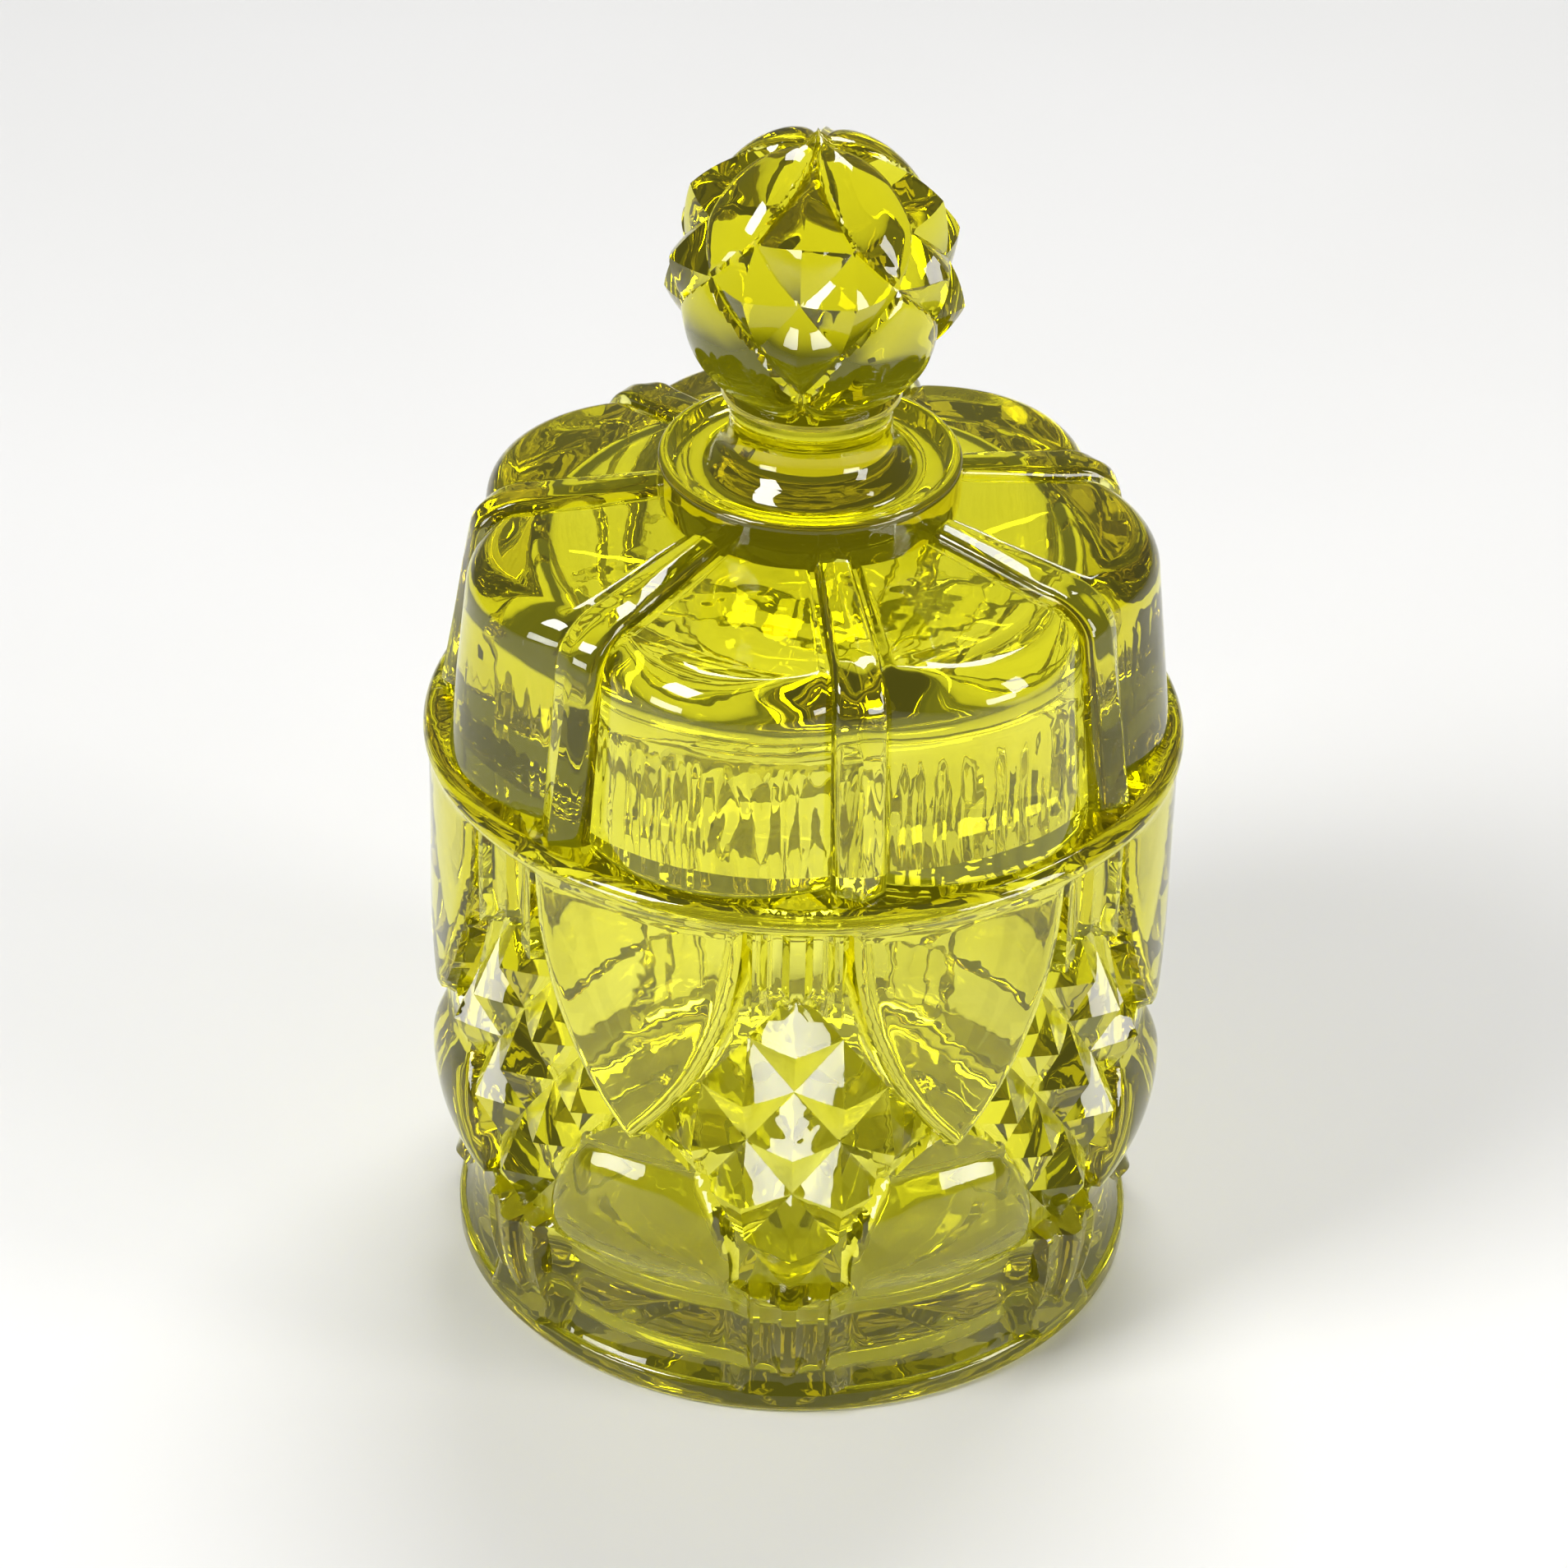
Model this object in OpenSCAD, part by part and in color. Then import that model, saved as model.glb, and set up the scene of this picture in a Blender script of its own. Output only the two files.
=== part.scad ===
// Covered pressed-glass jar: a seven-panel diamond-point jar and a loose lobed lid with a knob.
// Millimetres. The jar stands on z = 0, the shared axis is z.

/* [Jar size] */
// Outside diameter over the jar's panels
jar_d = 89; // [80:1:104]
// Height of the jar without the lid
jar_h = 74; // [66:1:90]
// Number of panels round the jar and lobes round the lid
panels = 7; // [6:1:8]
// Thickness of glass between the bore and the valleys of the pattern
wall = 5; // [3.5:0.5:6.5]
// Thickness of glass under the bore
floor_t = 9; // [6:0.5:12]
// Radius of the rounded corner at the bottom of the bore
bore_corner = 7; // [3:0.5:9]

/* [Foot] */
// Diameter of the foot disc
foot_d = 83.2; // [76:0.2:84]
// Thickness of the foot disc
foot_h = 3.4; // [2.4:0.2:4.6]
// Diameter of the hollow under the foot
hollow_d = 60; // [50:1:66]
// Depth of the hollow under the foot
hollow_t = 1.6; // [1:0.1:2.4]

/* [Jar rim] */
// How far the rim stands out past the panels
rim_out = 0.6; // [0.2:0.1:1.2]
// Height of the plain band at the rim
rim_h = 2.8; // [2:0.1:4]
// Radius of the rim's outer corner
rim_round = 2; // [1:0.1:2]

/* [Diamond points] */
// Depth of the pattern, from panel face to groove bottom
cut = 3.8; // [2.6:0.1:4.2]
// Height of the middle row of diamonds above the table
mid_z = 39.5; // [37:0.5:43]
// Angle between neighbouring groove crossings
stud_step = 7.7; // [6.8:0.1:8]
// Half the height of one diamond
stud_half = 7.3; // [6.6:0.1:7.6]

/* [Panels] */
// Half the width of a shield at its top
shield_half = 13.6; // [11:0.1:14]
// Half the width of an onion dome
onion_half = 12; // [10:0.1:12.6]
// Height of the onion dome's lower edge above the table
onion_z = 18.8; // [17:0.2:20]
// Slope of the panel edges, in millimetres of run over the full cut
edge_run = 2; // [1:0.1:3]
// Width of the fluted column between two shields
column_w = 10.4; // [9:0.1:11]
// Radius of one flute in the columns and foot ribs
flute_r = 1.9; // [1.4:0.1:2.2]
// Radius of the scoops between the foot ribs
scoop_r = 8.5; // [7:0.5:10]
// Depth of the scoops between the foot ribs
scoop_t = 3; // [2:0.1:3.6]

/* [Lid] */
// Height of the lid's skirt and top, without ring and knob
lid_h = 26; // [22:0.5:30]
// How far the lobes' shoulders stay inside the edge of the jar's rim
lid_step = 4.1; // [3.6:0.1:7]
// Outward slope of the lid's skirt, in degrees
lid_draft = 6; // [2:0.5:7]
// Radius of the lobes' shoulders
shoulder = 5; // [3:0.5:6]
// Radius of one lobe, seen from above
lobe_r = 20; // [19:0.5:27]
// Rise of the lid's top towards the ring
crown = 2.8; // [1.5:0.1:4]
// Width of the ribs between the lobes
rib_w = 7; // [5.4:0.1:8]
// Height of the radial bars above the lid's top
bar_out = 1.1; // [0.6:0.1:1.6]
// Thickness of solid glass in the lid's top
lid_solid = 9; // [7:0.5:11]
// Thickness of the collar round the hollow inside the lid
collar_t = 3.7; // [2.6:0.1:6]
// Height of the collar that drops into the jar's mouth
collar_h = 3.6; // [2.4:0.2:6]
// Gap all round between collar and mouth
collar_gap = 0.5; // [0.3:0.1:1]

// Angle the lid is turned on the jar, from rib to column
lid_turn = 9.6; // [-25:0.2:25]

/* [Ring and knob] */
// Diameter of the stepped ring under the knob
ring_d = 35.2; // [30:0.2:38]
// Height of the ring
ring_h = 5.6; // [4:0.1:7]
// Depth of the dish in the ring's top
dish_t = 1.5; // [0.8:0.1:2.2]
// Diameter of the neck
neck_d = 20.4; // [16:0.2:22]
// Height of the neck, from the ring's top to the underside of the knob
neck_h = 9.5; // [7:0.5:12]
// Diameter of the knob's ball over its petals
knob_d = 34; // [30:0.5:37]
// Depth of the pattern on the knob
knob_cut = 2; // [1.2:0.1:2.4]
// Height of the small point on top of the knob
point_h = 1; // [0.6:0.1:1.6]
// Angle of the knob's pattern from the lid's front rib
knob_turn = -15.4; // [-45:0.2:45]

/* [Hidden] */
$fn = 96;
eps = 0.2;

// Front of the jar, lid and knob: the middle of a column, a rib and a diamond field
front = -90;
lid_front = front + lid_turn;
knob_front = lid_front + knob_turn;

// Jar: radii of the pattern, angle of one panel
jar_r = jar_d / 2;
valley_r = jar_r - cut;
bore_r = valley_r - wall;
rim_r = jar_r + rim_out;
sector = 360 / panels;
rim_z = jar_h - rim_h;
wall_z = foot_h;
stud_a = valley_r * sin(stud_step);
stud_sink = 2.5;
shield_z = mid_z - 1;
shield_rise = rim_z - shield_z;
shield_arc = (shield_half * shield_half + shield_rise * shield_rise) / (2 * shield_half);
onion_rise = mid_z - onion_z - 4;
onion_arc = (onion_half * onion_half + onion_rise * onion_rise) / (2 * onion_half);
flute_az = asin(column_w / 4 / jar_r);

// Lid: built from the jar's rim plane upwards
lid_z = jar_h;
draft_run = tan(lid_draft);
lid_top_r = rim_r - lid_step;
lid_foot_r = lid_top_r + lid_h * draft_run;
lobe_c = lid_foot_r - lobe_r;
web_r = lid_top_r - 2.6;
collar_r = bore_r - collar_gap;
lid_hollow_r = collar_r - collar_t;
rib_r = web_r + 1.2;
ring_z = lid_h + crown;
neck_z = ring_z + ring_h;
ball_r = knob_d / 2;
neck_r = neck_d / 2;
ball_drop = sqrt(ball_r * ball_r - neck_r * neck_r);
ball_z = neck_z + neck_h + ball_drop;
petals = 4;
knob_stud = ball_r * 0.27;
petal_tip = ball_r * 0.22;
petal_rise = ball_r * 0.76;
petal_high_half = ball_r * 0.27;
petal_low_half = ball_r * 0.40;

// Stands a shape drawn in the x-y plane on the side of the body, facing outwards
module on_side(az, r, z) {
  rotate([0, 0, az])
    translate([r, 0, z])
      rotate([90, 0, 90])
        children();
}

// Roof-shaped prism; two of them crossed make one diamond point
module roof(a, b, high, sink, side) {
  across = a * b / sqrt(a * a + b * b);
  grow = (high + sink) / high;
  rotate([0, 0, side * atan2(b, a)])
    rotate([90, 0, 90])
      linear_extrude(8 * b, center = true)
        polygon([[-across * grow, -sink], [across * grow, -sink], [0, high]]);
}

module stud(a, b, high, sink) {
  intersection() {
    roof(a, b, high, sink, 1);
    roof(a, b, high, sink, -1);
  }
}

// Two leaning arcs that meet in a point, with sloping edges: outline of shield, onion and petal
module leaf(half, arc, run, low, high) {
  for_depth = high - low;
  intersection() {
    translate([half - arc, 0, low])
      cylinder(h = for_depth, r1 = arc + run, r2 = arc);
    translate([arc - half, 0, low])
      cylinder(h = for_depth, r1 = arc + run, r2 = arc);
  }
}

// One field of nine diamond points, centred on a column
module diamond_field(az) {
  for (row = [-2:2])
    for (k = [-(2 - abs(row)):2:(2 - abs(row))])
      on_side(az + k * stud_step, valley_r, mid_z + row * stud_half)
        stud(stud_a, stud_half, cut - 0.2, stud_sink);
}

module shield(az) {
  intersection() {
    on_side(az, 0, rim_z)
      leaf(shield_half, shield_arc, edge_run, bore_r + 1.5, jar_r + 1);
    translate([0, 0, shield_z - 4])
      cylinder(h = rim_z - shield_z + 4 + eps, r = jar_r);
  }
}

module onion(az) {
  intersection() {
    on_side(az, 0, onion_z + 4)
      leaf(onion_half, onion_arc, edge_run, bore_r + 1.5, jar_r + 1);
    translate([0, 0, onion_z])
      rotate_extrude()
        intersection() {
          translate([jar_r - 16, 8])
            circle(r = 16);
          square([jar_r + 1, mid_z - onion_z + 2]);
        }
  }
}

// Column between two shields: a straight pad with two flutes that run out in points
module column(az) {
  pad_z = mid_z + 2.2 * stud_half;
  difference() {
    intersection() {
      on_side(az, bore_r + 1, 0)
        linear_extrude(cut + wall)
          polygon([
            [-column_w / 2, rim_z + eps],
            [-column_w / 2, pad_z],
            [0, pad_z + 0.8 * stud_half],
            [column_w / 2, pad_z],
            [column_w / 2, rim_z + eps]
          ]);
      cylinder(h = jar_h, r = jar_r - 0.7);
    }
    for (side = [-1, 1])
      rotate([0, 0, az + side * flute_az])
        translate([jar_r + 0.2, 0, pad_z]) {
          translate([0, 0, -1])
            cylinder(h = 6, r1 = 0.6, r2 = flute_r);
          translate([0, 0, 5 - eps])
            cylinder(h = rim_z - pad_z - 5.6, r = flute_r);
        }
  }
}

// Rib that carries a column down to the foot, with two flutes
module foot_rib(az) {
  difference() {
    intersection() {
      on_side(az, bore_r + 1, 0)
        translate([-column_w / 2, wall_z])
          cube([column_w, mid_z - 2 * stud_half - wall_z, cut + wall]);
      rotate_extrude()
        intersection() {
          translate([jar_r - 20, wall_z + 15])
            circle(r = 19.6);
          square([jar_r, jar_h]);
        }
    }
    for (side = [-1, 1])
      rotate([0, 0, az + side * flute_az])
        translate([jar_r + 0.2, 0, wall_z - 1])
          cylinder(h = mid_z - 2.4 * stud_half - wall_z, r = flute_r);
  }
}

// Hollow between two foot ribs that flares out to the foot
module scoop(az) {
  scoop_z = (onion_z + foot_h) / 2;
  half_len = valley_r * sin(sector / 2) - column_w / 2 - 0.4;
  rotate([0, 0, az])
    translate([valley_r + 1.4 - scoop_t + scoop_r, 0, scoop_z])
      rotate([90, 0, 0])
        cylinder(h = 2 * half_len, r = scoop_r, center = true);
}

module jar_core() {
  difference() {
    union() {
      cylinder(h = foot_h, d = foot_d);
      translate([0, 0, foot_h - eps])
        cylinder(h = onion_z - foot_h + eps, r = valley_r + 1.4);
      cylinder(h = jar_h - rim_round, r = valley_r);
    }
    for (k = [0:panels - 1])
      scoop(front + (k + 0.5) * sector);
  }
}

module rim() {
  translate([0, 0, rim_z])
    rotate_extrude()
      union() {
        square([rim_r - rim_round, rim_h]);
        square([rim_r, rim_h - rim_round]);
        translate([rim_r - rim_round, rim_h - rim_round])
          circle(r = rim_round);
      }
  translate([0, 0, rim_z - 2])
    cylinder(h = 2 + eps, r1 = jar_r - 1.6, r2 = jar_r);
}

module bore() {
  translate([0, 0, floor_t])
    rotate_extrude()
      union() {
        translate([0, bore_corner])
          square([bore_r, jar_h]);
        square([bore_r - bore_corner, bore_corner + eps]);
        translate([bore_r - bore_corner, bore_corner])
          circle(r = bore_corner);
      }
}

// Hollow under the foot with a rayed star
module foot_hollow() {
  translate([0, 0, -eps])
    cylinder(h = hollow_t + eps, d = hollow_d);
  for (k = [0:2 * panels - 1])
    rotate([0, 0, front + (k + 0.5) * sector / 2])
      translate([0, 0, hollow_t])
        rotate([90, 0, 90])
          translate([0, 0, 5])
            linear_extrude(hollow_d / 2 - 8)
              polygon([[-1.1, -eps], [1.1, -eps], [0, 1.2]]);
}

module jar() {
  color([0.72, 0.8, 0.12, 0.75])
    difference() {
      union() {
        jar_core();
        rim();
        for (k = [0:panels - 1]) {
          diamond_field(front + k * sector);
          column(front + k * sector);
          foot_rib(front + k * sector);
          shield(front + (k + 0.5) * sector);
          onion(front + (k + 0.5) * sector);
        }
      }
      bore();
      foot_hollow();
    }
}

// One lobe of the lid's skirt
module lobe(az) {
  rotate([0, 0, az])
    translate([lobe_c, 0, 0])
      cylinder(h = lid_h + 1, r = lobe_r);
}

// Solid of revolution inside which a part of the lid has to stay, with a rounded shoulder
module turned_limit(top_r, high, round, crown_z) {
  fillet_x = top_r - round + round * cos(lid_draft);
  fillet_z = high - round + round * sin(lid_draft);
  rotate_extrude()
    union() {
      polygon([
        [0, 0],
        [fillet_x + fillet_z * draft_run, 0],
        [fillet_x, fillet_z],
        [top_r - round, high],
        [ring_d / 2, high + crown_z],
        [0, high + crown_z]
      ]);
      translate([top_r - round, high - round])
        circle(r = round, $fn = 48);
    }
}

// Radial bar on the top and ridged rib down the skirt
module rib(az) {
  rise = atan2(crown, web_r - ring_d / 2);
  rotate([0, 0, az]) {
    translate([web_r - 2, 0, lid_h - 1.2])
      rotate([0, rise, 0])
        rotate([90, 0, -90])
          linear_extrude(web_r - ring_d / 2)
            polygon([
              [-rib_w * 0.36, -4],
              [-rib_w * 0.36, bar_out],
              [0, bar_out + 1],
              [rib_w * 0.36, bar_out],
              [rib_w * 0.36, -4]
            ]);
    translate([rib_r + lid_h * draft_run, 0, 0])
      rotate([0, -lid_draft, 0])
        linear_extrude(lid_h)
          polygon([[-6, -rib_w / 2], [-1.8, -rib_w / 2], [1.6, 0], [-1.8, rib_w / 2], [-6, rib_w / 2]]);
  }
}

module lid_body() {
  difference() {
    union() {
      intersection() {
        union() {
          for (k = [0:panels - 1])
            lobe(lid_front + (k + 0.5) * sector);
          cylinder(h = lid_h + 1, r = web_r);
        }
        turned_limit(lid_top_r, lid_h, shoulder, 0);
      }
      intersection() {
        for (k = [0:panels - 1])
          rib(lid_front + k * sector);
        turned_limit(lid_top_r + 0.4, lid_h + 0.4, shoulder, crown + bar_out);
      }
      translate([0, 0, lid_h - 0.8])
        cylinder(h = crown + 0.8, r1 = web_r - shoulder, r2 = ring_d / 2);
      translate([0, 0, -collar_h])
        cylinder(h = collar_h + eps, r = collar_r);
    }
    translate([0, 0, -collar_h - eps])
      cylinder(h = lid_h - lid_solid + collar_h + eps, r = lid_hollow_r);
  }
}

module ring() {
  difference() {
    translate([0, 0, lid_h - 1])
      cylinder(h = neck_z - lid_h + 1, d = ring_d);
    translate([0, 0, neck_z - dish_t])
      cylinder(h = dish_t + eps, r1 = ring_d / 2 - 3, r2 = ring_d / 2 - 1.2);
  }
  translate([0, 0, neck_z - dish_t - eps])
    cylinder(h = 2.4, r1 = neck_r + 2.4, r2 = neck_r - 0.8);
  translate([0, 0, neck_z - dish_t - eps])
    cylinder(h = neck_h + dish_t + 2, r = neck_r - 0.8);
  translate([0, 0, neck_z + neck_h - 2.2])
    cylinder(h = 3, r = neck_r);
}

// Smooth petal that runs out in a tip just above the ball's equator
module petal(az, half, side) {
  petal_arc = (half * half + petal_rise * petal_rise) / (2 * half);
  rotate([0, 0, az])
    translate([0, 0, petal_tip + side * petal_rise])
      rotate([90, 0, 90])
        leaf(half, petal_arc, 1.2, ball_r * 0.35, ball_r + 1);
}

// Patterned ball: petals above and below, diamond points between them
module knob() {
  core_r = ball_r - knob_cut;
  translate([0, 0, ball_z]) {
    sphere(r = core_r, $fn = 64);
    intersection() {
      for (k = [0:petals - 1])
        union() {
          petal(knob_front + (k + 0.5) * 360 / petals, petal_high_half, 1);
          petal(knob_front + (k + 0.5) * 360 / petals, petal_low_half, -1);
        }
      sphere(r = ball_r - 0.7, $fn = 64);
      translate([0, 0, -ball_drop])
        cylinder(h = ball_drop + ball_r, r = ball_r);
    }
    intersection() {
      for (k = [0:petals - 1])
        for (place = [[0, 35], [22, 12.5], [-22, 12.5], [0, -10]])
          rotate([0, -place[1], knob_front + k * 360 / petals + place[0]])
            translate([core_r - 0.3, 0, 0])
              rotate([90, 0, 90])
                stud(knob_stud, knob_stud * 1.15, knob_cut + 0.6, 2);
      sphere(r = ball_r + 0.4, $fn = 64);
    }
    translate([0, 0, core_r - 1])
      cylinder(h = ball_r - core_r + 1 + point_h, r1 = 4.5, r2 = 0.6);
  }
}

module lid() {
  color([0.78, 0.84, 0.16, 0.75])
    translate([0, 0, lid_z]) {
      lid_body();
      ring();
      knob();
    }
}

jar();
lid();
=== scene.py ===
"""A covered pressed-glass jar: the jar and its loose lid, their glass, and a plain studio."""

import math

import bmesh
import bpy
import numpy as np
from mathutils import Matrix, Vector


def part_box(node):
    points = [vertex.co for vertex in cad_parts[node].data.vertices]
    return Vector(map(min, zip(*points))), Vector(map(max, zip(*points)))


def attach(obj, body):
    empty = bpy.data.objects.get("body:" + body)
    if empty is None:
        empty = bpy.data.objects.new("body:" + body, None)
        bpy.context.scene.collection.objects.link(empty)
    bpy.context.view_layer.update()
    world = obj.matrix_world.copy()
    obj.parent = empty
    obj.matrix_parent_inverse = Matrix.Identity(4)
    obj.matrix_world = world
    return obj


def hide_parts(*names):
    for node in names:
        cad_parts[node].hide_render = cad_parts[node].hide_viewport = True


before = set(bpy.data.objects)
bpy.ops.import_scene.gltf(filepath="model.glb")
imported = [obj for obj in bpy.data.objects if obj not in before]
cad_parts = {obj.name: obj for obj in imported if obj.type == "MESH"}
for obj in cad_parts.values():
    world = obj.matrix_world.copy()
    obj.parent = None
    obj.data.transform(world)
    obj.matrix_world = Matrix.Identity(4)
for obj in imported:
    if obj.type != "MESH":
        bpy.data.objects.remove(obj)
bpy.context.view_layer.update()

# ---------------------------------------------------------------- sizes, in millimetres and degrees
MM = 0.001
FAR = 1e6
JAR_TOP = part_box("jar")[1].z / MM
RIM_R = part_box("jar")[1].x / MM
LID_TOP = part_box("lid")[1].z / MM

FOLDS = 7
SECTOR = 360 / FOLDS
FRONT = -90
JAR_R = RIM_R - 0.6
VALLEY_R = JAR_R - 3.8
BORE_R = VALLEY_R - 5
FLOOR_Z = 9
BORE_CORNER = 7

# Diamond lattice round the jar
MID_Z = 39.5
STUD_STEP = 7.7
STUD_HALF = 7.3
STUD_HIGH = 3.6
CELLS = 10

# Shields, onion domes, columns, foot. SHIELD_LIP is the depth of the rounding along a shield's
# edge, ONION_LIP the height of the step at the edge of a dome.
SHIELD_TOP = 71.2
SHIELD_HALF = 13.6
SHIELD_TIP = 38.6
SHIELD_LIP = 0.9
SHIELD_ROUND = 2.2
SHIELD_WALL = 0.8
ONION_Z = 18.7
ONION_WIDE_Z = 21.5
ONION_TOP = MID_Z + 0.3
ONION_HALF = 12.5
ONION_LIP = 1.6
ONION_ROUND = 4.0
ONION_WALL = 0.5
ONION_BELLY = 16
COLUMN_HALF = 5.2
RIB_HALF = 4.7
STRIP_WALL = 0.5
FLUTE_AT = 2.6
FLUTE_HALF = 1.7
FOOT_R = 41.6
FOOT_H = 3.4
HOLLOW_R = 30
HOLLOW_T = 1.6

# Lid
LID_TURN = 9.6
LID_H = 26
LID_DRAFT = 6
LID_R = RIM_R - 4.1
LID_FOOT_R = LID_R + LID_H * math.tan(math.radians(LID_DRAFT))
SHOULDER = 5
LOBE_R = 20
COLLAR_R = BORE_R - 0.5
COLLAR_H = 3.6
LID_HOLLOW_R = COLLAR_R - 3.7
LID_SOLID = 9
BAR_HALF_IN = 2.15
BAR_HALF_OUT = 3.15
LID_RIB_HALF = 3.5
EDGE_HIGH = 1.3
BAR_RIDGE = 0.5
RIB_RIDGE = 3.9
RIB_TAPER = 1.6
RING_R = 17.6
RING_H = 5.6
CROWN = 2.8
SEAT_GAP = 0.05

# Knob
KNOB_TURN = -15.4
NECK_H = 9.5
NECK_TOP = LID_H + CROWN + RING_H + NECK_H
BALL_DROP = 13.6
BALL_Z = NECK_TOP + BALL_DROP
BALL_R = 15.1
BALL_STUD = 2.3

# Glass: refraction, a faint painted glow (emission that brightens its shaded parts, though it is no
# lamp), and the colour left after a path through it
GLASS_IOR = 1.51
# Painted light: emission colour and strength that brighten the glass where it lies in shade
PAINTED_GLOW_COLOUR = (0.56, 0.56, 0.02, 1)
PAINTED_GLOW_STRENGTH = 0.03
DEPTH_COLOUR = (0.935, 0.92, 0.03, 1)
DEPTH_DENSITY = 170.0

# Camera in metres and degrees, and the lights as (name, place, size, watts, colour, spread)
CAMERA_PLACE = (0, -0.557, 0.4226)
CAMERA_AIM = (-0.00215, 0, 0.0626)
CAMERA_LENS = 127.4
CAMERA_ROLL = 1.3
LIGHT_AIM = (0, 0, 0.07)
WHITE = (1, 1, 1)
WARM = (1.0, 0.98, 0.95)
LIGHTS = [
    ("key", (-0.55, -0.35, 0.75), (0.3, 0.3), 6.2, WHITE, 180),
    ("fill", (0.75, -0.25, 0.4), (0.2, 0.4), 3.0, WARM, 180),
    ("back", (0.1, 0.45, 0.85), (0.5, 0.25), 5.4, WHITE, 180),
    ("left_glint", (-0.72, -0.5, 0.18), (0.35, 0.2), 0.4, WHITE, 70),
    ("right_glint", (0.72, -0.5, 0.18), (0.35, 0.2), 0.4, WHITE, 70),
]


# ---------------------------------------------------------------- small maths
def fold(angle, centre, step):
    """Signed angle from the nearest of the lines at centre, centre + step, ..."""
    return (angle - centre + step / 2) % step - step / 2


def ease(low, high, x):
    """Smooth step from 0 at low to 1 at high."""
    t = np.clip((x - low) / (high - low), 0, 1)
    return t * t * (3 - 2 * t)


def pillow(s, width):
    """Quarter-round rise from 0 at the edge to 1 at width inside it."""
    t = np.clip(s / width, 0, 1)
    return np.sqrt(t * (2 - t))


def leaf_distance(x, z, half, wide_z, tip_z):
    """Distance inside the outline of two leaning arcs, half wide at wide_z, that meet at tip_z."""
    rise = tip_z - wide_z
    arc = (half * half + rise * rise) / (2 * half)
    return arc - np.hypot(np.abs(x) + arc - half, z - wide_z)


def leaf_project(x, z, half, wide_z, tip_z, grow=0.0):
    """Nearest point on the outline of leaf_distance, or on one that lies grow outside it."""
    rise = tip_z - wide_z
    arc = (half * half + rise * rise) / (2 * half)
    dx, dz = x + arc - half, z - wide_z
    far = np.maximum(np.hypot(dx, dz), 1e-9)
    return dx / far * (arc + grow) - arc + half, dz / far * (arc + grow) + wide_z


def segment_project(x, z, a, b):
    """Nearest point on the line from a to b, or a far one where that is past an end."""
    ax, az, bx, bz = *a, *b
    length = (bx - ax) ** 2 + (bz - az) ** 2
    t = ((x - ax) * (bx - ax) + (z - az) * (bz - az)) / length
    good = (t > -0.02) & (t < 1.02)
    t = np.clip(t, 0, 1)
    return np.where(good, ax + t * (bx - ax), FAR), np.where(good, az + t * (bz - az), FAR)


def snap(x, z, cell, targets):
    """Moves grid points that lie within half a cell of a crease onto it."""
    best = np.full(x.shape, 0.5)
    new_x, new_z = x.copy(), z.copy()
    for tx, tz in targets:
        d = np.hypot((tx - x) / cell[0], (tz - z) / cell[1])
        take = d < best
        best = np.where(take, d, best)
        new_x, new_z = np.where(take, tx, new_x), np.where(take, tz, new_z)
    return new_x, new_z


def ripple(angle, z, seed, size):
    """Slow unevenness of pressed glass, as a sum of a few fixed waves."""
    rng = np.random.default_rng(seed)
    total = np.zeros(np.broadcast(angle, z).shape)
    for _ in range(9):
        turns, high, phase = rng.integers(2, 15), rng.uniform(0.05, 0.4), rng.uniform(0, 6.28)
        total += np.sin(np.radians(angle) * turns + z * high * rng.choice([-1, 1]) + phase)
    return total * size / 3


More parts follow.
